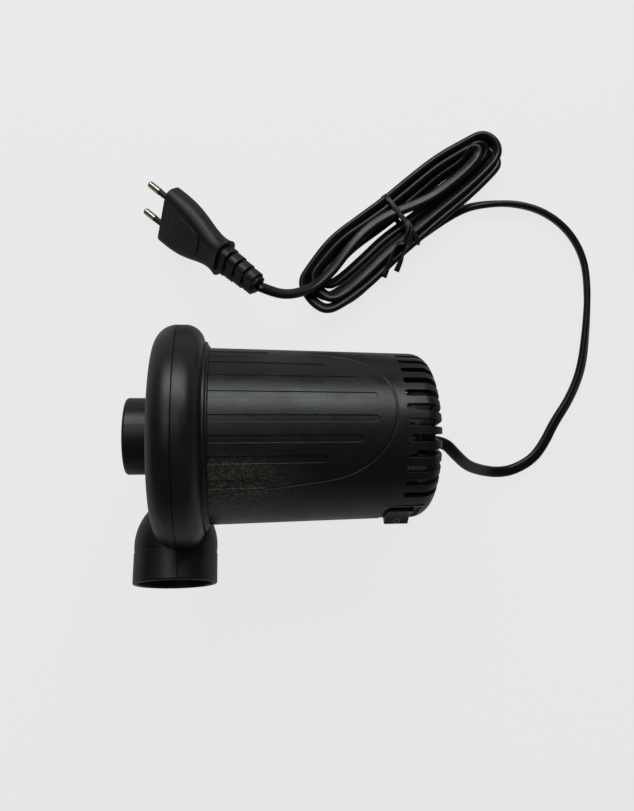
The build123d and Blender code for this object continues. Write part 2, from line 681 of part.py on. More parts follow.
# Raised O and I marks, each standing on its half of the rocker.
MARK_PROUD = 0.15
MARK_SINK = 0.6
with BuildPart() as mark_shell:
    with BuildSketch(ROCKER_SIDE):
        with BuildLine():
            ThreePointArc((-ROCKER_HALF, PEAK + MARK_PROUD), (-ROCKER_HALF / 2, 4.35 + MARK_PROUD),
                          (0, VALLEY + MARK_PROUD))
            ThreePointArc((0, VALLEY + MARK_PROUD), (ROCKER_HALF / 2, 4.35 + MARK_PROUD),
                          (ROCKER_HALF, PEAK + MARK_PROUD))
            Line((ROCKER_HALF, PEAK + MARK_PROUD), (ROCKER_HALF, 1))
            Line((ROCKER_HALF, 1), (-ROCKER_HALF, 1))
            Line((-ROCKER_HALF, 1), (-ROCKER_HALF, PEAK + MARK_PROUD))
        make_face()
    extrude(amount=ROCKER_WIDTH / 2, both=True)
with BuildPart() as switch_marks:
    with BuildSketch(ROCKER):
        with Locations((0, -5.2)):
            Circle(1.75)
            Circle(1.3, mode=Mode.SUBTRACT)
        with Locations((0, 4.6)):
            Rectangle(0.5, 2.6)
    extrude(amount=12)
    add(mark_shell.part, mode=Mode.INTERSECT)
    add(switch_rocker.part, mode=Mode.SUBTRACT)
switch_marks.part.label = "switch_marks"
export_step(switch_marks.part, "parts/switch_marks.step")

with BuildPart() as switch_tabs:
    with BuildSketch(SWITCH.offset(-SWITCH_DEPTH - 6.5)):
        with Locations((0, 5.5), (0, -5.5)):
            Rectangle(4.8, 0.8)
    extrude(amount=6.5)
switch_tabs.part.label = "switch_tabs"
export_step(switch_tabs.part, "parts/switch_tabs.step")

# ---------------------------------------------------------------- gland, clamp and leads
GLAND_TIP = BODY_REAR + 1.4
with BuildPart() as cord_gland:
    posts(MOTOR.offset(BODY_REAR - BODY_WALL - 1.8), 7.4, [(GLAND_SHIFT, 0)], 1.8)
    posts(MOTOR.offset(BODY_REAR - BODY_WALL), 5.0, [(GLAND_SHIFT, 0)], BODY_WALL)
    with BuildSketch(MOTOR.offset(BODY_REAR)):
        with Locations((GLAND_SHIFT, 0)):
            Circle(5.8)
    extrude(amount=GLAND_TIP - BODY_REAR, taper=25)
cord_gland.part.label = "cord_gland"
export_step(cord_gland.part, "parts/cord_gland.step")

CLAMP_REAR = 121.0
with BuildPart() as cord_clamp:
    with BuildSketch(MOTOR.offset(CLAMP_REAR - 7)):
        with Locations((GLAND_SHIFT, 0)):
            RectangleRounded(22, 9, 2)
            SlotOverall(6.6, 4.2, mode=Mode.SUBTRACT)
        with Locations((GLAND_SHIFT - 7.5, 0), (GLAND_SHIFT + 7.5, 0)):
            Circle(1.2, mode=Mode.SUBTRACT)
    extrude(amount=7)
cord_clamp.part.label = "cord_clamp"
export_step(cord_clamp.part, "parts/cord_clamp.step")

CLAMP_SCREWS = [(GLAND_SHIFT - 7.5, 0), (GLAND_SHIFT + 7.5, 0)]
with BuildPart() as clamp_screws:
    posts(MOTOR.offset(CLAMP_REAR - 8.6), 2.3, CLAMP_SCREWS, 1.6)
    posts(MOTOR.offset(CLAMP_REAR - 7), 1.2, CLAMP_SCREWS, 7)
clamp_screws.part.label = "clamp_screws"
export_step(clamp_screws.part, "parts/clamp_screws.step")

# Two posts of the clamp reach the rear wall, and the sheathed end of the lead lies between.
with BuildPart() as clamp_posts:
    with BuildSketch(MOTOR.offset(CLAMP_REAR)):
        with Locations(*CLAMP_SCREWS):
            Circle(3.0)
    extrude(amount=BODY_REAR - BODY_WALL - 1.8 - CLAMP_REAR)
clamp_posts.part.label = "clamp_posts"
export_step(clamp_posts.part, "parts/clamp_posts.step")

with BuildPart() as cord_inner_end:
    with BuildSketch(MOTOR.offset(CLAMP_REAR - 12)):
        with Locations((GLAND_SHIFT, 0)):
            SlotOverall(6.4, 4.0)
    extrude(amount=BODY_REAR - BODY_WALL - 1.8 - CLAMP_REAR + 12)
cord_inner_end.part.label = "cord_inner_end"
export_step(cord_inner_end.part, "parts/cord_inner_end.step")

LEAD_R = 0.9
with BuildPart() as switch_leads:
    for hand in (-1, 1):
        start = MOTOR.to_local_coords(
            SWITCH.from_local_coords(Vector(0, 5.5 * hand, -SWITCH_DEPTH - 6.5)))
        with BuildLine() as lead:
            FilletPolyline(
                place(start.X, start.Y, start.Z),
                place(start.X + 5.0, start.Y, start.Z),
                place(GLAND_SHIFT + 1.6 * hand, 0, 102.5),
                place(GLAND_SHIFT + 1.6 * hand, 0, CLAMP_REAR - 12),
                radius=1.6,
            )
        with BuildSketch(Plane(origin=lead.line @ 0, z_dir=lead.line % 0)):
            Circle(LEAD_R)
        sweep(path=lead.line)
switch_leads.part.label = "switch_leads"
export_step(switch_leads.part, "parts/switch_leads.step")

# ---------------------------------------------------------------- plug
PLUG_FACE = (-66.3, 140.0, 15.0)
PLUG_HEADING = 140.0
PLUG_DIP = 16.0
PLUG_ROLL = 45.0
PLUG_LENGTH = 45.0
BOOT_LENGTH = 27.0
dip_c = cos(radians(PLUG_DIP))
dip_s = sin(radians(PLUG_DIP))
heading_c = cos(radians(PLUG_HEADING))
heading_s = sin(radians(PLUG_HEADING))
PINWARD = Vector(dip_c * heading_c, dip_c * heading_s, -dip_s)
level = Vector(heading_s, -heading_c, 0)
lift = level.cross(PINWARD)
WIDE = level * -cos(radians(PLUG_ROLL)) - lift * sin(radians(PLUG_ROLL))
# PLUG: x from pin to pin (the second pin is the lower), z towards the pin tips.
PLUG = Plane(origin=PLUG_FACE, x_dir=WIDE, z_dir=PINWARD)
PIN_HALF = 9.0
PIN_LENGTH = 19.0
SLEEVE_LENGTH = 10.0

with BuildPart() as plug_body:
    sections = ((0.0, 35.3, 12.6, 5.2), (10.0, 34.4, 13.7, 5.6), (24.0, 28.6, 13.6, 5.8),
                (36.0, 20.6, 13.4, 5.6), (PLUG_LENGTH, 22.0, 15.0, 6.4))
    for back, wide, thick, corner in sections:
        with BuildSketch(PLUG.offset(-back)):
            RectangleRounded(wide, thick, corner)
    loft()
plug_body.part.label = "plug_body"
export_step(plug_body.part, "parts/plug_body.step")

with BuildPart() as plug_boot:
    for ring_index in range(4):
        back = PLUG_LENGTH + 6.75 * ring_index
        with BuildSketch(PLUG.offset(-back - 5.0)):
            RectangleRounded(16.0 - 0.8 * ring_index, 11.6 - 0.7 * ring_index, 4.2)
        extrude(amount=5.0)
    with BuildSketch(PLUG.offset(-PLUG_LENGTH - BOOT_LENGTH)):
        RectangleRounded(9.6, 7.4, 3.2)
        with Locations((-2.0, 0)):
            Rectangle(2.4, 8.8)
    extrude(amount=BOOT_LENGTH)
plug_boot.part.label = "plug_boot"
export_step(plug_boot.part, "parts/plug_boot.step")

with BuildPart() as plug_sleeves:
    posts(PLUG, 1.75, [(-PIN_HALF, 0), (PIN_HALF, 0)], SLEEVE_LENGTH)
plug_sleeves.part.label = "plug_sleeves"
export_step(plug_sleeves.part, "parts/plug_sleeves.step")

with BuildPart() as plug_pins:
    posts(PLUG.offset(SLEEVE_LENGTH), 2.0, [(-PIN_HALF, 0), (PIN_HALF, 0)], PIN_LENGTH - SLEEVE_LENGTH)
    fillet(plug_pins.edges().group_by(Axis(PLUG.origin, PLUG.z_dir))[-1], radius=1.2)
plug_pins.part.label = "plug_pins"
export_step(plug_pins.part, "parts/plug_pins.step")

# ---------------------------------------------------------------- mains cord
FREE_ROUTE = [
    tuple(place(GLAND_SHIFT, 0, GLAND_TIP)),
    tuple(place(GLAND_SHIFT, 0, GLAND_TIP + 9.5)),
    (96.5, 2.5, 35.0),
    (105.0, -3.5, 24.0),
    (114.5, -8.0, 13.5),
    (125.5, -10.0, 5.8),
    (136.0, -8.8, 3.3),
    (147.5, -2.5, 3.2),
    (154.5, 7.0, 3.2),
    (160.5, 19.5, 3.2),
    (170.0, 34.0, 3.2),
    (177.0, 52.0, 3.2),
    (179.5, 75.0, 3.2),
    (180.5, 97.0, 3.2),
    (178.5, 117.0, 3.2),
    (169.5, 133.5, 3.2),
    (155.0, 145.0, 3.2),
    (138.0, 150.0, 3.2),
    (120.0, 149.8, 3.2),
    (104.0, 146.5, 3.2),
    (92.0, 141.5, 3.2),
]
PLUG_ROUTE = [
    tuple(PLUG.from_local_coords(Vector(0, 0, -PLUG_LENGTH - BOOT_LENGTH))),
    (-4.5, 92.4, 29.5),
    (4.5, 92.4, 24.0),
    (13.5, 96.0, 18.5),
    (21.0, 101.5, 15.6),
    (28.0, 108.0, 15.4),
]


def arc_radii(route):
    """0.45 of the shorter run over the tangent of half the turn, at each inner point."""
    radii = []
    for before, here, after in zip(route, route[1:], route[2:]):
        run_in = Vector(*here) - Vector(*before)
        run_out = Vector(*after) - Vector(*here)
        half_turn = radians(run_in.get_angle(run_out)) / 2
        radii.append(0.45 * min(run_in.length, run_out.length) / tan(half_turn))
    return radii


def report_tube(name, line, part, route):
    """Print the arc radii and compare the volume with section times length."""
    length = sum(edge.length for edge in line.edges())
    share = part.volume / (pi * CORD_R ** 2 * length)
    radii = [round(radius, 1) for radius in arc_radii(route)]
    print(name, "length", round(length, 1), "volume share", round(share, 4), "radii", radii)


with BuildPart() as cord_run:
    with BuildLine() as free_line:
        FilletPolyline(*FREE_ROUTE, radius=arc_radii(FREE_ROUTE))
    with BuildSketch(Plane(origin=free_line.line @ 0, z_dir=free_line.line % 0)):
        Circle(CORD_R)
    sweep(path=free_line.line)
report_tube("cord_run", free_line.line, cord_run.part, FREE_ROUTE)
cord_run.part.label = "cord_run"
export_step(cord_run.part, "parts/cord_run.step")

with BuildPart() as cord_plug_run:
    with BuildLine() as plug_line:
        FilletPolyline(*PLUG_ROUTE, radius=arc_radii(PLUG_ROUTE))
    with BuildSketch(Plane(origin=plug_line.line @ 0, z_dir=plug_line.line % 0)):
        Circle(CORD_R)
    sweep(path=plug_line.line)
report_tube("cord_plug_run", plug_line.line, cord_plug_run.part, PLUG_ROUTE)
cord_plug_run.part.label = "cord_plug_run"
export_step(cord_plug_run.part, "parts/cord_plug_run.step")

# Hank: five flattened turns, their outer shape as one solid, with the tie round its middle.
HANK_CENTRE = (69.4, 136.7)
HANK_HEADING = 39.6
HANK_LENGTH = 138.0
HANK_WIDTH = 31.0
HANK_HEIGHT = 13.0
HANK_FLOOR = 0.2
HANK = Plane(origin=(*HANK_CENTRE, HANK_FLOOR), z_dir=(0, 0, 1)).rotated((0, 0, HANK_HEADING))
with BuildPart() as cord_hank:
    with BuildSketch(HANK):
        SlotOverall(HANK_LENGTH, HANK_WIDTH)
    extrude(amount=HANK_HEIGHT)
    fillet(cord_hank.edges().group_by(Axis.Z)[-1], radius=4.0)
    fillet(cord_hank.edges().group_by(Axis.Z)[0], radius=2.0)
cord_hank.part.label = "cord_hank"
export_step(cord_hank.part, "parts/cord_hank.step")

TIE_STATION = -2.0
TIE_WIDTH = 3.4
TIE_THICK = 1.2
with BuildPart() as cord_tie:
    with BuildSketch(Plane(origin=HANK.from_local_coords(Vector(TIE_STATION, 0, 0)),
                           x_dir=HANK.y_dir, z_dir=HANK.x_dir)):
        with Locations((0, HANK_HEIGHT / 2)):
            RectangleRounded(HANK_WIDTH + 2 * TIE_THICK, HANK_HEIGHT + TIE_THICK, 4.6)
            with Locations((0, TIE_THICK)):
                Rectangle(HANK_WIDTH + 10, HANK_HEIGHT + 2 * TIE_THICK, mode=Mode.INTERSECT)
    extrude(amount=TIE_WIDTH / 2, both=True)
    add(cord_hank.part, mode=Mode.SUBTRACT)
cord_tie.part.label = "cord_tie"
export_step(cord_tie.part, "parts/cord_tie.step")
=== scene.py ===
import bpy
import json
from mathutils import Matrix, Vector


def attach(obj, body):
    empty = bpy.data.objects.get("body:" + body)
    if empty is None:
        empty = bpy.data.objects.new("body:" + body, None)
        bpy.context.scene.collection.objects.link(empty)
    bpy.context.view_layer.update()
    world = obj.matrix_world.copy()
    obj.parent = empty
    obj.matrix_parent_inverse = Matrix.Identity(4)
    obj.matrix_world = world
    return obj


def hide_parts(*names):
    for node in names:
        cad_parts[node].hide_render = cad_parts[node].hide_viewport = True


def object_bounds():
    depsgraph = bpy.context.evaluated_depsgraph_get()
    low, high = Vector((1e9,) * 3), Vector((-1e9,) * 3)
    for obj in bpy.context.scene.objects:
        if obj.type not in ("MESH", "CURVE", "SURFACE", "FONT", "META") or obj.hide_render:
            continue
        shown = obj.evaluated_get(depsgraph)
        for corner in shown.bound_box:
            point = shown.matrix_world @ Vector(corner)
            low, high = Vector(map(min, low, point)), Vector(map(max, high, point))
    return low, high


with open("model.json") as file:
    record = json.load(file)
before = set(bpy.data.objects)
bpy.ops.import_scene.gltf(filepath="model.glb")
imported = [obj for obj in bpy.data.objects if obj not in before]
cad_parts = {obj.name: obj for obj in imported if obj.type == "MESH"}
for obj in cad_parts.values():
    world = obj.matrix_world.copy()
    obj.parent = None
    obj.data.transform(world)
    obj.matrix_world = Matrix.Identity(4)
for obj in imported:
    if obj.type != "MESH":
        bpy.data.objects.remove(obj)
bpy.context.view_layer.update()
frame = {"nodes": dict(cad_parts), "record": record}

import json
from math import cos, pi, radians, sin, sqrt

import bmesh
import bpy
from mathutils import Vector

MM = 0.001

# ---------------------------------------------------------------- the pump's frame, as in part.py
TILT = radians(6.75)
ROLL = radians(20.5)
SEAM_CENTRE = Vector((-51.75, 13.75, 57.48)) * MM
REARWARD = Vector((cos(TILT), 0, -sin(TILT)))
UPRIGHT = Vector((sin(TILT), 0, cos(TILT)))
ACROSS = Vector((0, 1, 0))
TOP = UPRIGHT * cos(ROLL) + ACROSS * sin(ROLL)
AWAY = ACROSS * cos(ROLL) - UPRIGHT * sin(ROLL)
BODY_FRONT, BODY_REAR, BODY_CORNER = 15.6, 129.0, 9.5
BODY_FRONT_R, BODY_REAR_R = 45.65, 43.6


def place(away, top, rear):
    """A point of the pump's own frame, in mm, as a point of the row frame in metres."""
    return SEAM_CENTRE + (AWAY * away + TOP * top + REARWARD * rear) * MM


def body_radius(station):
    """The housing's outer radius at a station, in mm."""
    share = (station - BODY_FRONT) / (BODY_REAR - BODY_CORNER - BODY_FRONT)
    return BODY_FRONT_R + share * (BODY_REAR_R - BODY_FRONT_R)


def on_body(station, turn, above=0.0):
    """A point on the housing's side, turn in degrees from the panel's middle."""
    r = body_radius(station) + above
    return place(r * sin(radians(turn)), r * cos(radians(turn)), station)


# ---------------------------------------------------------------- camera
LENS, SENSOR = 30.64, 36.0
CAMERA_PLACE = (0.01921, 0.02959, 0.4148)       # straight above, looking down
camera_data = bpy.data.cameras.new("camera")
camera_data.lens = LENS
camera_data.sensor_width = SENSOR
camera = bpy.data.objects.new("camera", camera_data)
camera.location = CAMERA_PLACE
bpy.context.collection.objects.link(camera)
bpy.context.scene.camera = camera

# ---------------------------------------------------------------- the lead's route
GLAND_SHIFT, GLAND_TIP = -3.5, 130.4
STRAIGHT_OUT = 9.5      # how far the lead leaves the gland before its first bend
FREE_ROUTE = [
    place(GLAND_SHIFT, 0, GLAND_TIP) / MM,
    place(GLAND_SHIFT, 0, GLAND_TIP + STRAIGHT_OUT) / MM,
    (95.5, 2.4, 36.0), (104.0, -4.4, 25.5), (114.5, -8, 13.5), (125.5, -10, 6.4), (136, -8.8, 3.6),
    (147.5, -2.5, 3.3), (154.5, 7, 3.3), (160.5, 19.5, 3.3), (170, 34, 3.3), (177, 52, 3.3),
    (179.5, 75, 3.4), (180.5, 97, 3.5), (178.5, 117, 3.5), (169.5, 133.5, 3.5), (155, 145, 3.5),
    (138, 150, 3.5), (120, 149.8, 3.5), (104, 146.5, 3.5), (92, 141.5, 3.5),
]
PLUG_ROUTE = [
    (28, 108, 12.6), (21, 101.5, 13.4), (13.5, 96, 17.5), (4.5, 92.4, 24), (-4.5, 92.4, 29.5),
]
# plug: its face, heading, dip and roll
PLUG_FACE = Vector((-66.3, 140.0, 15.0))
PLUG_LENGTH, BOOT_LENGTH = 45.0, 27.0
plug_heading, plug_dip, plug_roll = radians(140), radians(16), radians(45)
PINWARD = Vector((cos(plug_dip) * cos(plug_heading), cos(plug_dip) * sin(plug_heading), -sin(plug_dip)))
level = Vector((sin(plug_heading), -cos(plug_heading), 0))
PLUG_WIDE = -level * cos(plug_roll) - level.cross(PINWARD) * sin(plug_roll)
PLUG_THIN = PINWARD.cross(PLUG_WIDE)

# hank: where its middle is and where it points
HANK_CENTRE = Vector((69.4, 136.7, 0))
HANK_HEADING = radians(39.6)
HANK_ALONG = Vector((cos(HANK_HEADING), sin(HANK_HEADING), 0))
HANK_ACROSS = Vector((-sin(HANK_HEADING), cos(HANK_HEADING), 0))


def on_hank(along, across, height):
    """A point of the hank's own frame, in mm."""
    return HANK_CENTRE + HANK_ALONG * along + HANK_ACROSS * across + Vector((0, 0, height))


# half outlines of the hank's outermost strand: (along, across) above and below its middle line
UPPER_EDGE = [(-60, 12.4), (-50, 15.8), (-35, 18.4), (-18, 16.6), (-1, 15.6), (16, 15.5), (32, 16.2),
              (50, 14.0), (62, 11.0)]
LOWER_EDGE = [(-62, -12.0), (-50, -14.6), (-30, -13.6), (-9, -11.0), (2, -11.8), (22, -11.2),
              (37, -11.4), (56, -10.6), (64, -8.4)]
# each turn: how far it reaches left and right, how far inside the outermost strand it runs above
# and below, on the left and on the right, and its height
HANK_TURNS = [
    (-69.0, 70.5, 0.3, 0.2, 0.2, 0.2, 3.6),
    (-63.5, 67.0, 4.8, 4.6, 7.4, 5.6, 3.8),
    (-69.5, 71.5, -1.0, -1.0, -0.6, -1.0, 9.0),
    (-62.5, 65.5, 3.8, 4.0, 4.2, 3.4, 9.4),
    (-57.0, 62.5, 9.4, 8.6, 12.6, 9.6, 6.6),
]
SIDE_STEPS = 7
END_STEPS = 5
BEND_LENGTH = 11.0      # how much of each end the bend takes
HANK_START = 2.0        # where along the hank the first turn begins
STRAND_WAVE = 0.4       # how far a strand rises and falls along its side
INSET_SPAN = 40.0       # a strand's inset changes over this much each way from the hank's middle
END_ROUNDNESS = 0.62    # below one, so that a bend is squarer than a half circle
END_REACH = 1.03        # control points stand out a little, since the curve cuts inside them


def ease(x):
    """Smooth step from 0 to 1."""
    x = min(max(x, 0.0), 1.0)
    return x * x * (3 - 2 * x)


def edge_at(edge, along):
    """An outline's value at a place along the hank."""
    for (a, p), (b, q) in zip(edge, edge[1:]):
        if along <= b:
            return p + (q - p) * (along - a) / (b - a)
    return edge[-1][1]


def hank_side(edge, inset_left, inset_right, start, stop, height):
    """Points of one long side, from start to stop along the hank."""
    out = []
    inward = -1 if edge is UPPER_EDGE else 1
    for i in range(SIDE_STEPS):
        along = start + (stop - start) * i / (SIDE_STEPS - 1)
        inset = inset_left + (inset_right - inset_left) * ease((along + INSET_SPAN) / (2 * INSET_SPAN))
        lift = STRAND_WAVE * sin(along / 9 + inset)
        out.append((along, edge_at(edge, along) + inward * inset, height + lift))
    return out


def hank_end(first, last, reach, height, height_after):
    """Points of the bend at one end, between the last point of a side and the first of the next."""
    out = []
    for i in range(1, END_STEPS):
        share = i / END_STEPS
        bulge = sin(pi * share) ** END_ROUNDNESS
        along = first[0] + (last[0] - first[0]) * share
        along += (reach - along) * bulge * END_REACH
        across = first[1] + (last[1] - first[1]) * (0.5 - 0.5 * cos(pi * share))
        out.append((along, across, height + (height_after - height) * ease(share)))
    return out


def hank_points():
    """Control points of the hank's turns, clockwise seen from above."""
    out = []
    start = HANK_START
    for number, (left, right, up_left, up_right, low_left, low_right, height) in enumerate(HANK_TURNS):
        after = HANK_TURNS[min(number + 1, len(HANK_TURNS) - 1)]
        near_left, near_right = left + BEND_LENGTH, right - BEND_LENGTH
        lower = hank_side(LOWER_EDGE, low_left, low_right, start, near_left, height)
        upper = hank_side(UPPER_EDGE, up_left, up_right, near_left, near_right, height)
        out += lower + hank_end(lower[-1], upper[0], left, height, height) + upper
        start = after[1] - BEND_LENGTH
        if number + 1 < len(HANK_TURNS):
            following = hank_side(LOWER_EDGE, after[4], after[5], start, 0.0, after[6])
            out += hank_end(upper[-1], following[0], right, height, after[6])
    return [on_hank(*p) for p in out]


# the last strand turns inside the right end and crosses the top of the hank to the plug
LAST_STRAND = [
    on_hank(57.5, 8.4, 10.2), on_hank(61.5, 5.2, 10.6), on_hank(58.0, 1.8, 11.0), on_hank(49, 0.3, 11.4),
    on_hank(37, -0.2, 11.8), on_hank(22, 0.6, 12.0), on_hank(9, 4.2, 12.2), on_hank(-3, 8.4, 12.2),
    on_hank(-15, 10.2, 12.2), on_hank(-28, 9.4, 12.2), on_hank(-40, 6.8, 12.4),
]


def nurbs(name, points):
    """A smooth curve of order 3 through the neighbourhood of its points, in mm."""
    data = bpy.data.curves.new(name, "CURVE")
    data.dimensions = "3D"
    data.resolution_u = 8
    spline = data.splines.new("NURBS")
    spline.points.add(len(points) - 1)
    for point, at in zip(spline.points, points):
        point.co = (*(Vector(at) * MM), 1.0)
    spline.order_u = 3
    spline.use_endpoint_u = True
    return bpy.data.objects.new(name, data)


def centreline(name, points):
    """Points along such a curve, in metres."""
    curve = nurbs(name, points)
    mesh = bpy.data.meshes.new_from_object(curve)
    line = [v.co.copy() for v in mesh.vertices]
    bpy.data.meshes.remove(mesh)
    bpy.data.objects.remove(curve)
    return line


def new_piece(mesh):
    """Link a mesh as a piece of its own name that rides on the casing."""
    obj = bpy.data.objects.new(mesh.name, mesh)
    bpy.context.collection.objects.link(obj)
    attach(obj, "casing")
    return obj


def bridge(bm, first, second):
    """A band of faces between two rings with the same number of points."""
    count = len(first)
    for j in range(count):
        k = (j + 1) % count
        bm.faces.new((first[j], first[k], second[k], second[j]))


def sweep(name, line, section, twist=lambda share: 0.0, closed=False):
    """Mesh of a section, a list of (side, lift) in metres, swept along a line of points.
    At no twist the section's side lies level."""
    bm = bmesh.new()
    rings = []
    total = len(line)
    side_before = None
    for i, at in enumerate(line):
        ahead = line[(i + 1) % total] if closed else line[min(i + 1, total - 1)]
        behind = line[i - 1] if closed else line[max(i - 1, 0)]
        tangent = (ahead - behind).normalized()
        side = Vector((0, 0, 1)).cross(tangent)
        if side.length < 0.2 and side_before is not None:
            side = side_before - tangent * side_before.dot(tangent)
        side.normalize()
        side_before = side
        lift = tangent.cross(side)
        a = twist(i / (total - 1))
        across = side * cos(a) + lift * sin(a)
        over = lift * cos(a) - side * sin(a)
        rings.append([bm.verts.new(at + across * s + over * t) for s, t in section])
    for first, second in zip(rings, rings[1:]):
        bridge(bm, first, second)
    if closed:
        bridge(bm, rings[-1], rings[0])
    else:
        bm.faces.new(list(reversed(rings[0])))
        bm.faces.new(rings[-1])
    bmesh.ops.recalc_face_normals(bm, faces=bm.faces)
    for face in bm.faces:
        face.smooth = True
    mesh = bpy.data.meshes.new(name)
    bm.to_mesh(mesh)
    bm.free()
    return mesh


def full_circle(count):
    """Angles of a full turn in equal steps."""
    return [2 * pi * i / count for i in range(count)]


def squared(value, power):
    """A sine or cosine pushed outwards, keeping its sign; it makes a circle squarish."""
    return (1 if value > 0 else -1) * abs(value) ** power


def round_section(radius, count):
    """Round section of a radius in mm."""
    return [(radius * MM * cos(a), radius * MM * sin(a)) for a in full_circle(count)]


def flat_section(width, height, count=20, waist=0.0):
    """Rounded flat section; waist pinches its middle, as on a lead of two cores."""
    out = []
    for a in full_circle(count):
        s = width / 2 * squared(cos(a), 0.75)
        t = height / 2 * squared(sin(a), 0.8)
        t *= 1 - waist * (1 - min(1.0, abs(s) / (width * 0.22)))
        out.append((s, t))
    return out


LEAD_WIDTH, LEAD_HEIGHT = 6.4 * MM, 4.0 * MM
LEAD_WAIST = 0.12       # how deep the furrow between the two cores is
# the free run's last point is inside the hank, whose first strand takes over before it
lead_route = [*FREE_ROUTE[:-1], *hank_points(), *LAST_STRAND, *PLUG_ROUTE]
boot_end = PLUG_FACE - PINWARD * (PLUG_LENGTH + BOOT_LENGTH)
lead_route.append(boot_end)
lead_line = centreline("lead_line", lead_route)
lengths = [0.0]
for a, b in zip(lead_line, lead_line[1:]):
    lengths.append(lengths[-1] + (b - a).length)
LEAD_LENGTH = lengths[-1]

# how far the flat lead has turned on edge, in degrees, at shares of its length
TWIST_KEYS = [
    (0.0, 12), (0.035, 15), (0.08, 40), (0.11, 74), (0.145, 80), (0.165, 55), (0.19, 40), (0.24, 55),
    (0.30, 30), (0.36, 52), (0.42, 24), (0.48, 60), (0.54, 35), (0.6, 58), (0.68, 28), (0.75, 56),
    (0.82, 36), (0.88, 50), (0.94, 20), (1.0, 40),
]


def lead_twist(share):
    """Twist at a share of the lead's points, smoothed between the keys."""
    reached = lengths[round(share * (len(lengths) - 1))] / LEAD_LENGTH
    for (a, p), (b, q) in zip(TWIST_KEYS, TWIST_KEYS[1:]):
        if reached <= b:
            return radians(p + (q - p) * ease((reached - a) / (b - a)))
    return radians(TWIST_KEYS[-1][1])


lead_mesh = sweep("power_lead", lead_line, flat_section(LEAD_WIDTH, LEAD_HEIGHT, 20, LEAD_WAIST), lead_twist)
lead = new_piece(lead_mesh)
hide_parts("cord_run", "cord_hank", "cord_plug_run")

# twist tie: a band round the hank and two tails twisted together, then apart
TIE_STATION, TIE_SLANT = 0.8, 1.2
TIE_MIDDLE, TIE_HALF_WIDTH = 2.1, 16.6
TIE_HEIGHT, TIE_HALF_HEIGHT = 7.4, 6.8
TIE_THICK = 1.4 * MM
BAND_WIDTH, TAIL_WIDTH = 3.2 * MM, 3.3 * MM


def band_point(a):
    """A point of the tie's band round the hank, at an angle, in metres."""
    along = TIE_STATION + TIE_SLANT * cos(a) * (1 if sin(a) > 0 else 0)
    across = TIE_MIDDLE + TIE_HALF_WIDTH * squared(cos(a), 0.7)
    return on_hank(along, across, TIE_HEIGHT + TIE_HALF_HEIGHT * squared(sin(a), 0.6)) * MM


band_line = [band_point(a) for a in full_circle(28)]
TAILS = (
    [(1.0, -1.2, 14.2), (-0.6, -4.0, 15.4), (-4.0, -7.6, 15.2), (-8.0, -10.6, 14.6), (-11.0, -7.4, 14.2),
     (-20.5, -12.8, 13.6), (-29.3, -17.7, 12.0)],
    [(1.0, -1.0, 14.4), (1.0, -5.2, 15.2), (-2.2, -9.2, 15.2), (-6.0, -12.2, 14.4), (-10.3, -13.6, 13.4),
     (-15.5, -16.8, 12.0), (-21.1, -19.6, 10.4)],
)
ties = [sweep("tie_band", band_line, flat_section(BAND_WIDTH, TIE_THICK, 12), closed=True)]
for number, tail in enumerate(TAILS):
    tail_line = centreline("tail_line", [on_hank(*p) for p in tail])
    ties.append(sweep(f"tie_tail_{number}", tail_line, flat_section(TAIL_WIDTH, TIE_THICK, 12),
                      lambda share: 2 * pi * share))
tie_pieces = [new_piece(mesh) for mesh in ties]
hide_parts("cord_tie")


# ---------------------------------------------------------------- materials
# painted glints: pale grains in the base colour stand in for light caught by the grain on one patch of the
# housing's panel
GLINT_STRETCH = (0.42, 1.0, 0.7)     # below one where the patch of painted glints runs on further
GLINT_COLOR = (0.13, 0.13, 0.105, 1)
GLINT_CORE = 0.25                    # share of the reach over which the painted glints are at their thickest
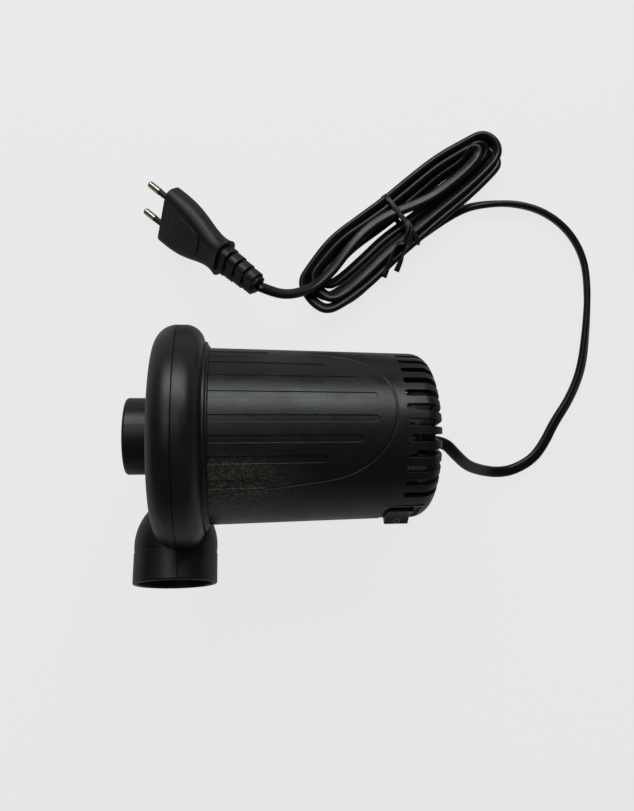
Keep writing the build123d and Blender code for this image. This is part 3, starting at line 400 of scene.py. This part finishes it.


class Nodes:
    """Small helper that builds one node material."""

    def __init__(self, name, color, roughness, metallic=0.0, specular=0.5):
        self.material = bpy.data.materials.new(name)
        self.material.use_nodes = True
        self.tree = self.material.node_tree
        self.shader = self.tree.nodes["Principled BSDF"]
        self.shader.inputs["Base Color"].default_value = (*color, 1)
        self.shader.inputs["Roughness"].default_value = roughness
        self.shader.inputs["Metallic"].default_value = metallic
        self.shader.inputs["Specular IOR Level"].default_value = specular
        self.coords = self.add("ShaderNodeTexCoord")

    def add(self, kind, **values):
        """A node, with properties set by name."""
        node = self.tree.nodes.new(kind)
        for key, value in values.items():
            setattr(node, key, value)
        return node

    def link(self, source, target):
        """Join an output to an input."""
        self.tree.links.new(source, target)

    def noise(self, scale, detail=3.0, rough=0.55, stretch=(1, 1, 1)):
        """Noise of the row frame's metres; scale is cells a metre."""
        mapping = self.add("ShaderNodeMapping")
        mapping.inputs["Scale"].default_value = stretch
        self.link(self.coords.outputs["Object"], mapping.inputs["Vector"])
        node = self.add("ShaderNodeTexNoise")
        node.inputs["Scale"].default_value = scale
        node.inputs["Detail"].default_value = detail
        node.inputs["Roughness"].default_value = rough
        self.link(mapping.outputs["Vector"], node.inputs["Vector"])
        return node.outputs["Fac"]

    def ramp(self, source, stops):
        """Colour ramp; stops are (position, grey or colour)."""
        node = self.add("ShaderNodeValToRGB")
        while len(node.color_ramp.elements) < len(stops):
            node.color_ramp.elements.new(0.5)
        for element, (position, value) in zip(node.color_ramp.elements, stops):
            element.position = position
            element.color = (*value, 1) if isinstance(value, tuple) else (value, value, value, 1)
        self.link(source, node.inputs["Fac"])
        return node.outputs["Color"]

    def bump(self, source, strength, distance, normal=None):
        """Bump from a height, over another normal if there is one."""
        node = self.add("ShaderNodeBump")
        node.inputs["Strength"].default_value = strength
        node.inputs["Distance"].default_value = distance
        self.link(source, node.inputs["Height"])
        if normal is not None:
            self.link(normal, node.inputs["Normal"])
        return node.outputs["Normal"]

    def painted_glints(self, color, centre, reach):
        """Painted glints: pale grains over a colour that stand in for light caught by the grain, thinning
        out from a place.
        """
        shrunk = self.add("ShaderNodeVectorMath", operation="MULTIPLY")
        self.link(self.coords.outputs["Object"], shrunk.inputs[0])
        shrunk.inputs[1].default_value = GLINT_STRETCH
        gap = self.add("ShaderNodeVectorMath", operation="DISTANCE")
        self.link(shrunk.outputs["Vector"], gap.inputs[0])
        gap.inputs[1].default_value = Vector(centre) * Vector(GLINT_STRETCH)
        near = self.add("ShaderNodeMapRange", interpolation_type="SMOOTHSTEP")
        self.link(gap.outputs["Value"], near.inputs["Value"])
        near.inputs["From Min"].default_value = GLINT_CORE * reach
        near.inputs["From Max"].default_value = reach
        near.inputs["To Min"].default_value = 1.0
        near.inputs["To Max"].default_value = 0.0
        share = self.add("ShaderNodeMath", operation="MULTIPLY")
        self.link(near.outputs["Result"], share.inputs[0])
        self.link(self.ramp(self.noise(820, 2, 0.7), [(0.46, 0.2), (0.60, 1.0)]), share.inputs[1])
        mix = self.add("ShaderNodeMixRGB")
        self.link(share.outputs["Value"], mix.inputs["Fac"])
        self.link(color, mix.inputs["Color1"])
        mix.inputs["Color2"].default_value = GLINT_COLOR
        return mix.outputs["Color"]

    def rounded(self, radius):
        """Normal that rounds sharp edges."""
        node = self.add("ShaderNodeBevel", samples=6)
        node.inputs["Radius"].default_value = radius
        return node.outputs["Normal"]


GRAIN_DEPTH = 0.05 * MM
SPECKLE_DEPTH = 0.06 * MM
DRAWN_DEPTH = 0.03 * MM
WIRE_DEPTH = 0.2 * MM
METAL_EDGE = 0.15 * MM


def moulded(name, dark, light, roughness, grain=0.35, grain_scale=2600, edge=0.35 * MM, speckle=False,
            glints=None):
    """Moulded plastic: eroded-steel grain, faint mottling, rubbed patches and rounded edges.
    Glints is a place and how far the pale grains of painted glint reach from it."""
    m = Nodes(name, dark, roughness)
    mottle = m.ramp(m.noise(38, 4), [(0.35, dark), (0.72, light)])
    # painted glints over the mottling, where a patch is given
    if glints:
        mottle = m.painted_glints(mottle, *glints)
    m.link(mottle, m.shader.inputs["Base Color"])
    low, high = max(0.0, roughness - 0.07), min(1.0, roughness + 0.09)
    m.link(m.ramp(m.noise(60, 5, 0.6), [(0.3, low), (0.7, high)]), m.shader.inputs["Roughness"])
    surface = m.bump(m.noise(grain_scale, 2), grain, GRAIN_DEPTH, m.rounded(edge))
    if speckle:
        grains = m.ramp(m.noise(1300, 1), [(0.52, 0.0), (0.66, 1.0)])
        surface = m.bump(grains, 0.35, SPECKLE_DEPTH, surface)
    m.link(surface, m.shader.inputs["Normal"])
    return m.material


def metal(name, color, dark, roughness, stretch=(1, 1, 1), scale=900):
    """Metal with drawn lines or grain and a slight stain."""
    m = Nodes(name, color, roughness, metallic=1.0)
    m.link(m.ramp(m.noise(120, 4), [(0.3, dark), (0.65, color)]), m.shader.inputs["Base Color"])
    lines = m.noise(scale, 3, 0.6, stretch)
    low, high = max(0, roughness - 0.1), roughness + 0.12
    m.link(m.ramp(lines, [(0.3, low), (0.7, high)]), m.shader.inputs["Roughness"])
    m.link(m.bump(lines, 0.12, DRAWN_DEPTH, m.rounded(METAL_EDGE)), m.shader.inputs["Normal"])
    return m.material


def wound(name):
    """Enamelled copper: fine wire turns side by side with a varnish; the gaps between them are painted
    shade.
    """
    m = Nodes(name, (0.45, 0.16, 0.06), 0.3, metallic=0.85)
    wave = m.add("ShaderNodeTexWave", wave_type="BANDS", bands_direction="DIAGONAL")
    wave.inputs["Scale"].default_value = 420
    wave.inputs["Distortion"].default_value = 1.2
    m.link(m.coords.outputs["Object"], wave.inputs["Vector"])
    # painted shade and painted highlight: darker in the gaps between the wires, lighter on their crowns,
    # following the bump's wave
    wires_with_painted_shade = m.ramp(wave.outputs["Fac"], [(0.1, (0.18, 0.05, 0.02)), (0.7, (0.55, 0.22, 0.09))])
    m.link(wires_with_painted_shade, m.shader.inputs["Base Color"])
    m.link(m.bump(wave.outputs["Fac"], 0.6, WIRE_DEPTH), m.shader.inputs["Normal"])
    m.shader.inputs["Coat Weight"].default_value = 0.4
    return m.material


# the housing's and air case's blacks, darkest and lightest of the mottling
DARK = (0.0072, 0.0078, 0.0074)
LIGHT = (0.0125, 0.0138, 0.0130)
GUARD_DARK, GUARD_LIGHT = (0.006, 0.006, 0.006), (0.011, 0.011, 0.011)
ROCKER_DARK, ROCKER_LIGHT = (0.006, 0.006, 0.007), (0.010, 0.010, 0.011)
PLUG_DARK, PLUG_LIGHT = (0.008, 0.0085, 0.0082), (0.014, 0.015, 0.0145)
LEAD_DARK, LEAD_LIGHT = (0.0042, 0.0044, 0.0044), (0.0085, 0.0088, 0.0088)
RUBBER_DARK, RUBBER_LIGHT = (0.010, 0.010, 0.010), (0.016, 0.016, 0.016)
MARK_DARK, MARK_LIGHT = (0.40, 0.41, 0.41), (0.52, 0.53, 0.52)
IMPELLER_DARK, IMPELLER_LIGHT = (0.05, 0.052, 0.055), (0.075, 0.078, 0.08)
FAN_DARK, FAN_LIGHT = (0.55, 0.54, 0.50), (0.64, 0.63, 0.59)
BROWN_DARK, BROWN_LIGHT = (0.05, 0.018, 0.008), (0.09, 0.032, 0.014)
CARBON_DARK, CARBON_LIGHT = (0.02, 0.02, 0.022), (0.035, 0.035, 0.037)
# where the painted glints of the grain lie on the housing's panel, and how far they reach
GLINT_PATCH = (on_body(18, -52), 24 * MM)

case_black = moulded("case_black", DARK, LIGHT, 0.36, 0.30, 2400, 0.45 * MM)
# the housing's black, with painted glints on one patch of its panel
body_black = moulded("body_black", DARK, LIGHT, 0.34, 0.32, 2200, speckle=True, glints=GLINT_PATCH)
guard_black = moulded("guard_black", GUARD_DARK, GUARD_LIGHT, 0.45, 0.3, 2200, 0.2 * MM)
rocker_black = moulded("rocker_black", ROCKER_DARK, ROCKER_LIGHT, 0.27, 0.12, 3000, 0.3 * MM)
plug_black = moulded("plug_black", PLUG_DARK, PLUG_LIGHT, 0.46, 0.45, 1900)
lead_black = moulded("lead_black", LEAD_DARK, LEAD_LIGHT, 0.30, 0.12, 900, 0.05 * MM)
rubber = moulded("rubber_black", RUBBER_DARK, RUBBER_LIGHT, 0.62, 0.4, 1800, 0.2 * MM)
mark_grey = moulded("mark_grey", MARK_DARK, MARK_LIGHT, 0.55, 0.2, edge=0.05 * MM)
impeller_grey = moulded("impeller_grey", IMPELLER_DARK, IMPELLER_LIGHT, 0.42, 0.25, 2000, 0.2 * MM)
fan_white = moulded("fan_white", FAN_DARK, FAN_LIGHT, 0.45, 0.2, 2000, 0.2 * MM)
lead_brown = moulded("lead_brown", BROWN_DARK, BROWN_LIGHT, 0.35, 0.1, 900, 0.05 * MM)
carbon = moulded("carbon_grey", CARBON_DARK, CARBON_LIGHT, 0.6, 0.4, 3000, 0.1 * MM)
steel = metal("steel", (0.56, 0.56, 0.57), (0.42, 0.42, 0.43), 0.28, (1, 30, 30))
# painted shade: a near black steel that stands in for the shade on the frame behind the vents
shade_darkened = metal("shade_darkened_steel", (0.030, 0.031, 0.032), (0.014, 0.014, 0.015), 0.40)
zinc = metal("zinc_steel", (0.58, 0.60, 0.60), (0.40, 0.42, 0.44), 0.36)
laminated = metal("laminated_steel", (0.22, 0.22, 0.24), (0.12, 0.11, 0.11), 0.45, (60, 1, 1), 300)
brass = metal("brass", (0.72, 0.53, 0.24), (0.55, 0.38, 0.16), 0.3)
bronze = metal("bronze", (0.42, 0.29, 0.14), (0.28, 0.18, 0.09), 0.42)
nickel = metal("pin_nickel", (0.78, 0.74, 0.62), (0.58, 0.53, 0.40), 0.24, scale=500)
copper = wound("wound_copper")

MATERIAL_OF_SLOT = {
    "case_black": case_black, "guard_black": guard_black, "rocker_black": rocker_black,
    "mark_white": mark_grey, "impeller_grey": impeller_grey, "fan_white": fan_white, "steel": steel,
    "zinc_steel": zinc, "lamination": laminated, "copper": copper, "brass": brass, "bronze": bronze,
    "carbon": carbon, "rubber": rubber, "lead_brown": lead_brown, "cord_pvc": lead_black,
    "plug_pvc": plug_black, "pin_nickel": nickel,
}
# the motor's frame behind the vents is darkened as painted shade, so the inside behind them stays dark
SHADE_DARKENED_NODES = ("front_bracket", "rear_bracket", "motor_bolts", "bolt_spacers")


def dress(obj, material):
    """Give a piece its one material."""
    obj.data.materials.clear()
    obj.data.materials.append(material)


for row in frame["record"]["subparts"]:
    dress(frame["nodes"][row["node"]], MATERIAL_OF_SLOT[row["material_slot"]])
# painted shade on the frame behind the vents
for name in SHADE_DARKENED_NODES:
    dress(frame["nodes"][name], shade_darkened)
dress(lead, lead_black)
for piece in tie_pieces:
    dress(piece, plug_black)

# ---------------------------------------------------------------- plug's parting line and raised panel
def on_plug(wide, thin, back):
    """A point of the plug's own frame: across its pins, off its wide face, back from its face; in metres."""
    return (PLUG_FACE + PLUG_WIDE * wide + PLUG_THIN * thin - PINWARD * back) * MM


# half width and half thickness of the plug at distances back from its face
PLUG_SECTIONS = [
    (0.0, 17.65, 6.3), (10.0, 17.2, 6.85), (24.0, 14.3, 6.8), (36.0, 10.3, 6.7), (PLUG_LENGTH, 11.0, 7.5),
]


def plug_half(back, column):
    """The plug's half width (column 1) or half thickness (column 2) at a distance back."""
    for first, second in zip(PLUG_SECTIONS, PLUG_SECTIONS[1:]):
        if back <= second[0]:
            share = (back - first[0]) / (second[0] - first[0])
            return first[column] + (second[column] - first[column]) * share
    return PLUG_SECTIONS[-1][column]


FLASH_R, FLASH_SINK, FLASH_OFF_MIDDLE = 0.22, 0.25, 1.6
FLASH_START, FLASH_LENGTH = 2.0, 40.0


def parting_line(side):
    """Thin flash line where the mould's halves met, along one narrow side of the plug."""
    backs = [FLASH_START + FLASH_LENGTH * i / 24 for i in range(25)]
    line = [on_plug(side * (plug_half(b, 1) - FLASH_SINK), FLASH_OFF_MIDDLE, b) for b in backs]
    return sweep(f"plug_parting_{'low' if side > 0 else 'high'}", line, round_section(FLASH_R, 8))


FIELD_BACK, FIELD_LENGTH = 8.0, 23.0
FIELD_HALF, FIELD_TAPER = 10.6, 3.4
# the field's side: how much of its outline, and how high over the plug's face, from foot to top
FIELD_STEPS = ((1.0, -0.15), (0.985, 0.30), (0.95, 0.42))


def raised_panel(face):
    """Low raised field with rounded corners on one wide face, narrowing with the body."""
    outline = []
    for a in full_circle(48):
        share = 0.5 + 0.5 * squared(sin(a), 0.45)
        half = FIELD_HALF - FIELD_TAPER * share
        outline.append((squared(cos(a), 0.45) * half, FIELD_BACK + FIELD_LENGTH * share))
    middle = FIELD_BACK + FIELD_LENGTH / 2
    bm = bmesh.new()
    rings = []
    for shrink, rise in FIELD_STEPS:
        ring = []
        for wide, back in outline:
            off = face * (plug_half(back, 2) + rise)
            ring.append(bm.verts.new(on_plug(wide * shrink, off, middle + (back - middle) * shrink)))
        rings.append(ring)
    for lower, upper in zip(rings, rings[1:]):
        bridge(bm, lower, upper)
    bm.faces.new(rings[-1])
    bm.faces.new(list(reversed(rings[0])))
    bmesh.ops.recalc_face_normals(bm, faces=bm.faces)
    mesh = bpy.data.meshes.new(f"plug_panel_{'front' if face > 0 else 'back'}")
    bm.to_mesh(mesh)
    bm.free()
    return mesh


for sign in (1, -1):
    for mesh, look in ((parting_line(sign), lead_black), (raised_panel(sign), plug_black)):
        trim = new_piece(mesh)
        dress(trim, look)

# ---------------------------------------------------------------- motor housing with its panel's edge line
# stations in mm, angles in degrees
PANEL_TIP, PANEL_HALF, PANEL_NOSE = 105.3, 47.0, 36.0
PANEL_FLARE = 0.18              # degrees a mm by which the panel widens to the front
NOSE_POWER = 2.4                # above 2, so that the nose is blunter than an ellipse
GROOVE_R, GROOVE_LIFT = 0.6, 0.05
GROOVE_STEPS = 44
WELD = 1e-7                     # metres
INSIDE_R = 25.0                 # mm; nearer the motor axis there is no outer side
LIKENESS = cos(radians(17))     # a face this close to the true surface takes its normals


def panel_half_angle(station):
    """Half the panel's angle at a station: a straight taper with a rounded nose."""
    taper = PANEL_HALF + PANEL_FLARE * (PANEL_TIP - PANEL_NOSE - station)
    into_nose = (station - (PANEL_TIP - PANEL_NOSE)) / PANEL_NOSE
    return taper if into_nose <= 0 else taper * sqrt(max(0.0, 1 - into_nose ** NOSE_POWER))


def groove_cutter(side):
    """Tube that runs along the panel's edge on one side of the housing."""
    first = BODY_FRONT - 2
    shares = [1 - (1 - i / GROOVE_STEPS) ** 2 for i in range(GROOVE_STEPS)]
    stations = [first + (PANEL_TIP - first) * share for share in shares]
    edge = [(s, panel_half_angle(s)) for s in stations] + [(PANEL_TIP, 0.0)]
    edge += [(s, -a) for s, a in reversed(edge[:-1])]
    line = [on_body(s, a + side, GROOVE_LIFT) for s, a in edge]
    tube = sweep("groove_cutter", line, round_section(GROOVE_R, 10))
    obj = bpy.data.objects.new("groove_cutter", tube)
    bpy.context.collection.objects.link(obj)
    return obj


def housing_shell():
    """The CAD housing with the edge line of the panel cut in on both sides."""
    source = frame["nodes"]["motor_housing"]
    mesh = source.data.copy()
    mesh.name = "housing_shell"
    bm = bmesh.new()
    bm.from_mesh(mesh)
    bmesh.ops.remove_doubles(bm, verts=bm.verts, dist=WELD)
    bm.to_mesh(mesh)
    bm.free()
    shell = bpy.data.objects.new("housing_shell", mesh)
    bpy.context.collection.objects.link(shell)
    for side in (0, 180):
        cutter = groove_cutter(side)
        cut = shell.modifiers.new("groove", "BOOLEAN")
        cut.operation = "DIFFERENCE"
        cut.solver = "EXACT"
        cut.object = cutter
        bpy.context.view_layer.update()
        evaluated = shell.evaluated_get(bpy.context.evaluated_depsgraph_get())
        result = bpy.data.meshes.new_from_object(evaluated)
        shell.modifiers.clear()
        shell.data = result
        bpy.data.objects.remove(cutter)
    shell.data.name = "housing_shell"
    smooth_like_cad(shell.data)
    return shell


def housing_normal(at):
    """Outward normal of the housing's side or rear corner at a point, or None on neither."""
    offset = at - SEAM_CENTRE
    station = offset.dot(REARWARD) / MM
    spoke = offset - REARWARD * offset.dot(REARWARD)
    radius = spoke.length / MM
    if radius < INSIDE_R:
        return None
    spoke.normalize()
    corner = BODY_REAR - BODY_CORNER
    if station <= corner:
        return spoke
    ring_radius = BODY_REAR_R - BODY_CORNER
    if radius <= ring_radius:
        return REARWARD
    return (spoke * (radius - ring_radius) + REARWARD * (station - corner)).normalized()


def smooth_like_cad(mesh):
    """Loop normals that follow the housing's true surfaces, and face normals elsewhere."""
    mesh.polygons.foreach_set("use_smooth", [True] * len(mesh.polygons))
    normals = []
    truths = [housing_normal(v.co) for v in mesh.vertices]
    for polygon in mesh.polygons:
        flat = polygon.normal
        for index in polygon.vertices:
            truth = truths[index]
            normal = flat
            if truth is not None and abs(truth.dot(flat)) > LIKENESS:
                normal = truth if truth.dot(flat) > 0 else -truth
            normals.append(normal)
    mesh.normals_split_custom_set(normals)


shell = housing_shell()
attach(shell, "casing")
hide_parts("motor_housing")
dress(shell, body_black)

# ---------------------------------------------------------------- floor and light
FLOOR_HALF = 3.0
FLOOR_GAP = 0.1 * MM
# the floor's own glow: little onto the pump, so that its underside stays dark, and more to the camera
GLOW_ON_PUMP, GLOW_TO_CAMERA = 0.25, 0.772
floor_corners = [(x * FLOOR_HALF, y * FLOOR_HALF, 0) for x, y in ((-1, -1), (1, -1), (1, 1), (-1, 1))]
floor_mesh = bpy.data.meshes.new("floor")
floor_mesh.from_pydata(floor_corners, [], [(0, 1, 2, 3)])
floor = bpy.data.objects.new("floor", floor_mesh)
floor.location.z = min(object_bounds()[0][2], 0.0) - FLOOR_GAP
bpy.context.collection.objects.link(floor)
floor_look = Nodes("floor_pale", (0.085, 0.085, 0.085), 0.9, specular=0.0)
floor_look.shader.inputs["Emission Color"].default_value = (1, 1, 1, 1)
seen = floor_look.add("ShaderNodeLightPath")
glow = floor_look.add("ShaderNodeMapRange")
floor_look.link(seen.outputs["Is Camera Ray"], glow.inputs["Value"])
glow.inputs["To Min"].default_value = GLOW_ON_PUMP
glow.inputs["To Max"].default_value = GLOW_TO_CAMERA
floor_look.link(glow.outputs["Result"], floor_look.shader.inputs["Emission Strength"])
dress(floor, floor_look.material)


def softbox(name, at, aim, size, power, tint=(1, 1, 1)):
    """Area light at a point, facing another."""
    data = bpy.data.lights.new(name, "AREA")
    data.shape = "RECTANGLE"
    data.size, data.size_y = size
    data.energy = power
    data.color = tint
    obj = bpy.data.objects.new(name, data)
    obj.location = at
    obj.rotation_euler = (Vector(aim) - Vector(at)).to_track_quat("-Z", "Y").to_euler()
    bpy.context.collection.objects.link(obj)


GREENISH = (0.93, 1.0, 0.965)
PUMP_MIDDLE = (0, 0, 0.03)
softbox("key", (0.0, 0.95, 0.75), PUMP_MIDDLE, (1.3, 0.5), 8.4, GREENISH)
softbox("rim", (0.0, -0.8, 0.22), PUMP_MIDDLE, (1.2, 0.2), 0.12, GREENISH)
softbox("overhead", (-0.3, 0.45, 1.3), (0, 0.05, 0), (0.6, 0.5), 1.2)

world = bpy.data.worlds.new("world")
world.use_nodes = True
world.node_tree.nodes["Background"].inputs["Color"].default_value = (0.9, 0.95, 0.93, 1)
world.node_tree.nodes["Background"].inputs["Strength"].default_value = 0.05
bpy.context.scene.world = world
bpy.context.scene.view_settings.view_transform = "Standard"
